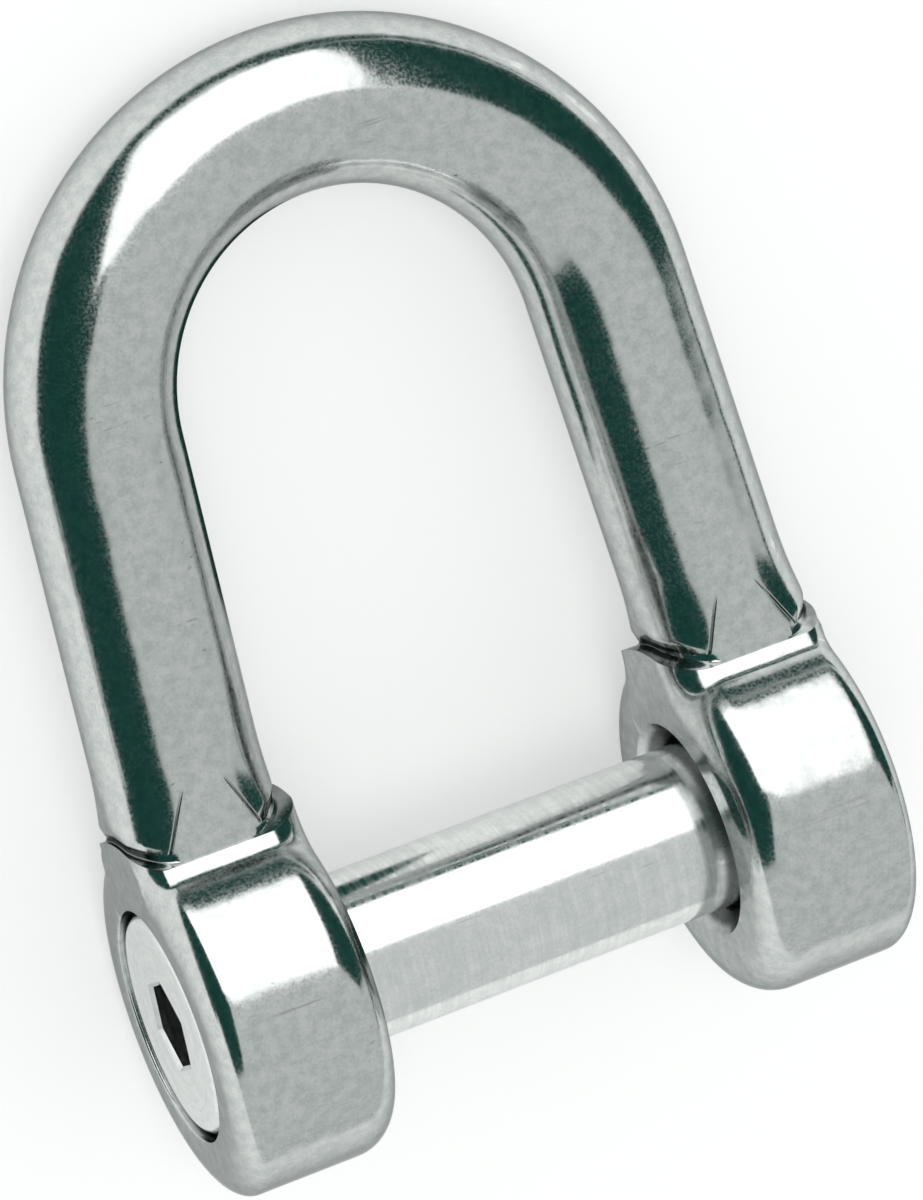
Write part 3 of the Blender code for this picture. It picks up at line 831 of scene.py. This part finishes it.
def forged_steel(groups):
    """Drop forged and barrel polished: patchy and softly waved, with painted shade in its holes and
    lines.
    """
    material, place, polish, wear, axis, colour = steel_base(
        "forged_steel", (FORGED_DARK, FORGED_LIGHT), FORGED_EDGE_TINT, groups,
        {"Patches per metre": 1700.0, "Grain per metre": 7000.0,
         "Grain depth": 0.0007 * MM, "Wave depth": 0.03 * MM},
        {"Pit depth": 0.03 * MM},
    )
    tree = material.node_tree
    hole = axis.outputs["In a hole"]
    crease = use_group(tree, groups["crease"], place, {}).outputs["Crease"]
    # painted shade: the holes, the notch and the creases get a darker colour
    painted_shade = maths(
        tree, "MAXIMUM",
        maths(tree, "MULTIPLY", hole, HOLE_PAINTED_SHADE),
        maths(tree, "MULTIPLY", axis.outputs["In the notch"], NOTCH_PAINTED_SHADE),
        maths(tree, "MULTIPLY", crease, CREASE_PAINTED_SHADE),
    )
    rough = maths(
        tree, "ADD",
        ramp_value(tree, polish.outputs["Grain"], *NOISE_SPAN, *FORGED_ROUGH),
        maths(tree, "MULTIPLY", hole, HOLE_ROUGH),
        maths(tree, "MULTIPLY", wear.outputs["Marks"], FORGED_MARK_ROUGH),
    )
    height = maths(
        tree, "ADD",
        polish.outputs["Height"],
        wear.outputs["Height"],
        maths(tree, "MULTIPLY", crease, -CREASE_DEPTH),
    )
    # the painted shade mixes the colour towards a near black teal
    finish_steel(material, mix_colour(tree, painted_shade, colour, PAINTED_SHADE_COLOUR), rough, height)
    return material


def turned_steel(groups):
    """Turned and polished: fine rings round the axis, on the head's face and along the shank."""
    material, _, polish, wear, axis, colour = steel_base(
        "turned_steel", (TURNED_DARK, TURNED_LIGHT), TURNED_EDGE_TINT, groups,
        {"Patches per metre": 1300.0, "Grain per metre": 6000.0,
         "Grain depth": 0.0004 * MM, "Wave depth": 0.006 * MM},
        {"Pit depth": 0.012 * MM},
    )
    tree = material.node_tree
    spread = tree.nodes.new("ShaderNodeCombineXYZ")
    for way, socket in (("Along", "X"), ("Radius", "Y")):
        scaled = maths(tree, "MULTIPLY", axis.outputs[way], RINGS_PER_METRE)
        tree.links.new(scaled, spread.inputs[socket])
    rings = noise(tree, spread.outputs["Vector"], 1.0)
    on_thread = ramp_value(tree, axis.outputs["Along"], *THREAD_FROM)
    colour = mix_colour(tree, ramp_value(tree, rings, *RING_SPAN, 0.0, RING_SHARE), colour, RING_COLOUR)
    colour = mix_colour(tree, maths(tree, "MULTIPLY", on_thread, THREAD_SHARE), colour, THREAD_COLOUR)
    rough = maths(
        tree, "ADD",
        ramp_value(tree, rings, *NOISE_SPAN, *TURNED_ROUGH),
        maths(tree, "MULTIPLY", on_thread, THREAD_ROUGH),
        maths(tree, "MULTIPLY", wear.outputs["Marks"], TURNED_MARK_ROUGH),
    )
    height = maths(
        tree, "ADD",
        polish.outputs["Height"],
        wear.outputs["Height"],
        maths(tree, "MULTIPLY", rings, RING_DEPTH),
    )
    finish_steel(material, colour, rough, height)
    return material


# The studio, seen from the shackle
STUDIO_GREY = (0.66, 0.69, 0.68)
STUDIO_REACH = 0.6
SOFT_BOX_LIGHT = (1.9, 1.9, 1.9)
FLAG_TEAL = (0.012, 0.062, 0.052)
CARD_CELLS = 16
# Name, corners, share of the reach, colour and softness of the edges. A corner is in degrees
# round from the crown towards the tapped side, and in degrees up from the floor.
SKY_CARDS = (
    ("left_flag", ((-115.0, 42.0), (-40.0, 68.0), (-18.0, -6.0), (-115.0, -6.0)), 1.0, FLAG_TEAL, 0.05),
    ("right_flag", ((38.0, 64.0), (98.0, 30.0), (98.0, -6.0), (4.0, -6.0)), 1.0, FLAG_TEAL, 0.08),
    ("soft_box", ((-44.0, 54.0), (56.0, 62.0), (24.0, 5.0), (-21.0, 3.0)), 0.9, SOFT_BOX_LIGHT, 0.05),
    ("right_strip", ((92.0, 6.0), (118.0, 4.0), (118.0, -4.0), (92.0, -4.0)), 0.95, FLAG_TEAL, 0.15),
)
# Name, lowest and highest corner, and softness of the edges
FLOOR_CARDS = (
    ("far_flag", (-0.58, 0.045), (0.12, 0.58), 0.03),
    ("near_flag", (-0.58, -0.03), (-0.11, 0.05), 0.03),
    # painted shadow: a dark card on the floor inside the bow, seen only in the steel, for the shade
    # there
    ("inner_flag", (-0.007, -0.004), (0.001, 0.023), 0.12),
)
FLOOR_CARD_LIFT = 0.2 * MM
FLOOR_SIZE = 6.0
FLOOR_COLOUR = (0.78, 0.78, 0.77)
FLOOR_GLOW = 0.34
LAMP_PLACE = (-0.15, 0.1, 0.7)
LAMP_SIZE = 0.35
LAMP_POWER = 1.25


def studio_world():
    """An even, pale surrounding light."""
    world = bpy.data.worlds.new("studio")
    world.use_nodes = True
    surround = world.node_tree.nodes["Background"]
    surround.inputs["Color"].default_value = (*STUDIO_GREY, 1.0)
    surround.inputs["Strength"].default_value = 1.0
    bpy.context.scene.world = world


def card_material(name, colour, softness):
    """Light of one colour that fades out towards the card's edges, by its own UV map."""
    material = bpy.data.materials.new(name)
    material.use_nodes = True
    tree = material.node_tree
    tree.nodes.clear()
    place = tree.nodes.new("ShaderNodeUVMap")
    place.uv_map = "card"
    split = tree.nodes.new("ShaderNodeSeparateXYZ")
    tree.links.new(place.outputs["UV"], split.inputs["Vector"])
    from_edge = [maths(tree, "PINGPONG", split.outputs[axis], 0.5) for axis in ("X", "Y")]
    mask = maths(tree, "MULTIPLY", *(ramp_value(tree, way, 0.0, softness) for way in from_edge))
    clear = tree.nodes.new("ShaderNodeBsdfTransparent")
    light = tree.nodes.new("ShaderNodeEmission")
    light.inputs["Color"].default_value = (*colour, 1.0)
    mix = tree.nodes.new("ShaderNodeMixShader")
    tree.links.new(mask, mix.inputs["Fac"])
    tree.links.new(clear.outputs["BSDF"], mix.inputs[1])
    tree.links.new(light.outputs["Emission"], mix.inputs[2])
    output = tree.nodes.new("ShaderNodeOutputMaterial")
    tree.links.new(mix.outputs["Shader"], output.inputs["Surface"])
    return material


def mixed_corners(corners):
    """Grid of points between four corners, mixed in even shares along both sides, and the shares."""
    share = np.linspace(0.0, 1.0, CARD_CELLS + 1)
    across, down = (part[..., None] for part in np.meshgrid(share, share))
    top = (1.0 - across) * corners[0] + across * corners[1]
    bottom = (1.0 - across) * corners[3] + across * corners[2]
    return (1.0 - down) * top + down * bottom, across, down


def sky_card(name, corners, reach, colour, softness):
    """A card on a sphere round the shackle: unit directions between its corners, times the reach."""
    turn, rise = np.radians(np.array(corners)).T
    ways = np.stack([np.sin(turn) * np.cos(rise), np.cos(turn) * np.cos(rise), np.sin(rise)], axis=-1)
    points, across, down = mixed_corners(ways)
    studio_card(name, unit(points) * STUDIO_REACH * reach, across, down, colour, softness)


def floor_card(name, low, high, softness):
    """A dark card that lies on the floor between two corners."""
    corners = np.array([(low[0], high[1]), high, (high[0], low[1]), low])
    points, across, down = mixed_corners(np.column_stack([corners, np.full(4, FLOOR_CARD_LIFT)]))
    studio_card(name, points, across, down, FLAG_TEAL, softness)


def studio_card(name, points, across, down, colour, softness):
    """A card of one colour, a grid of points, that only the polished steel sees."""
    index = np.arange(points[..., 0].size).reshape(points.shape[:2])
    quads = grid_faces(index, round_columns=False).reshape(-1, 4)
    mesh = bpy.data.meshes.new(name)
    mesh.from_pydata(points.reshape(-1, 3).tolist(), [], quads.tolist())
    flat = np.concatenate([across, down], axis=-1).reshape(-1, 2)
    mesh.uv_layers.new(name="card").data.foreach_set("uv", flat[quads.ravel()].ravel())
    mesh.materials.append(card_material(name, colour, softness))
    card = bpy.data.objects.new(name, mesh)
    bpy.context.scene.collection.objects.link(card)
    card.visible_camera = False
    card.visible_diffuse = False
    card.visible_shadow = False


def overhead_lamp():
    """A wide lamp above, for the soft shadow on the floor; the steel doesn't mirror it."""
    lamp = bpy.data.lights.new("overhead", "AREA")
    lamp.size = LAMP_SIZE
    lamp.energy = LAMP_POWER
    holder = bpy.data.objects.new("overhead", lamp)
    holder.location = LAMP_PLACE
    holder.rotation_euler = Vector(LAMP_PLACE).to_track_quat("Z", "Y").to_euler()
    holder.visible_glossy = False
    bpy.context.scene.collection.objects.link(holder)


def studio_floor():
    """A wide pale floor. Seen directly or in the steel it glows a little."""
    mesh = bpy.data.meshes.new("floor")
    reach = FLOOR_SIZE / 2
    corners = [(-reach, -reach, 0.0), (reach, -reach, 0.0), (reach, reach, 0.0), (-reach, reach, 0.0)]
    mesh.from_pydata(corners, [], [(0, 1, 2, 3)])
    material = bpy.data.materials.new("floor")
    material.use_nodes = True
    tree = material.node_tree
    shader = tree.nodes["Principled BSDF"]
    shader.inputs["Base Color"].default_value = (*FLOOR_COLOUR, 1.0)
    shader.inputs["Roughness"].default_value = 0.9
    shader.inputs["Specular IOR Level"].default_value = 0.0
    shader.inputs["Emission Color"].default_value = (1.0, 1.0, 1.0, 1.0)
    path = tree.nodes.new("ShaderNodeLightPath")
    rays = ("Is Camera Ray", "Is Glossy Ray", "Is Transmission Ray")
    seen = maths(tree, "MAXIMUM", *(path.outputs[ray] for ray in rays))
    glow = maths(tree, "MULTIPLY", seen, FLOOR_GLOW)
    tree.links.new(glow, shader.inputs["Emission Strength"])
    mesh.materials.append(material)
    floor = bpy.data.objects.new("floor", mesh)
    bpy.context.scene.collection.objects.link(floor)


def studio():
    """World, floor, lamp and cards."""
    bpy.context.scene.view_settings.view_transform = "Standard"
    studio_world()
    studio_floor()
    overhead_lamp()
    for card in SKY_CARDS:
        sky_card(*card)
    for card in FLOOR_CARDS:
        floor_card(*card)


# The view
CAMERA_BACK = (-17.27, 12.48)  # degrees round from the front and up, in the shackle's own frame
CAMERA_ROLL = math.radians(-16.14)
CAMERA_TARGET = (1.797 * MM, 14.501 * MM, 0.0)
CAMERA_DISTANCE = 283.9 * MM
CAMERA_LENS = 180.0


def make_camera():
    """The photograph's view: placed back from its target along its own axis, and rolled."""
    turn, rise = (math.radians(value) for value in CAMERA_BACK)
    back = np.array([math.sin(turn) * math.cos(rise), math.sin(rise), math.cos(turn) * math.cos(rise)])
    right = unit(np.cross([0.0, 1.0, 0.0], back))
    up = np.cross(back, right)
    rolled_right = math.cos(CAMERA_ROLL) * right + math.sin(CAMERA_ROLL) * up
    rolled_up = np.cross(back, rolled_right)
    place = lie_down(np.array(CAMERA_TARGET) + CAMERA_DISTANCE * back)
    lean = np.array(Matrix.Rotation(-LEAN, 3, "X"))
    axes = np.stack([lean @ rolled_right, lean @ rolled_up, lean @ back], axis=-1)
    camera = bpy.data.cameras.new("camera")
    camera.lens = CAMERA_LENS
    camera.clip_start = 0.01
    camera.clip_end = 10.0
    holder = bpy.data.objects.new("camera", camera)
    holder.matrix_world = Matrix.Translation(place) @ Matrix(axes.tolist()).to_4x4()
    bpy.context.scene.collection.objects.link(holder)
    bpy.context.scene.camera = holder


def main():
    """The two pieces, the studio and the view."""
    groups = {
        "polish": polish_group(), "wear": wear_group(),
        "axis": axis_group(), "crease": crease_group(),
    }
    body_points, body_quads = forging()
    forged = forged_steel(groups)
    make_piece("forged_body", body_points, [body_quads], forged, "bow", "shackle_body")
    pin_points, pin_quads, pin_caps = pin_surface()
    turned = turned_steel(groups)
    pin_faces = [pin_quads, pin_caps]
    make_piece("screw_pin", pin_points, pin_faces, turned, "screw_pin", "pin")
    studio()
    make_camera()


main()
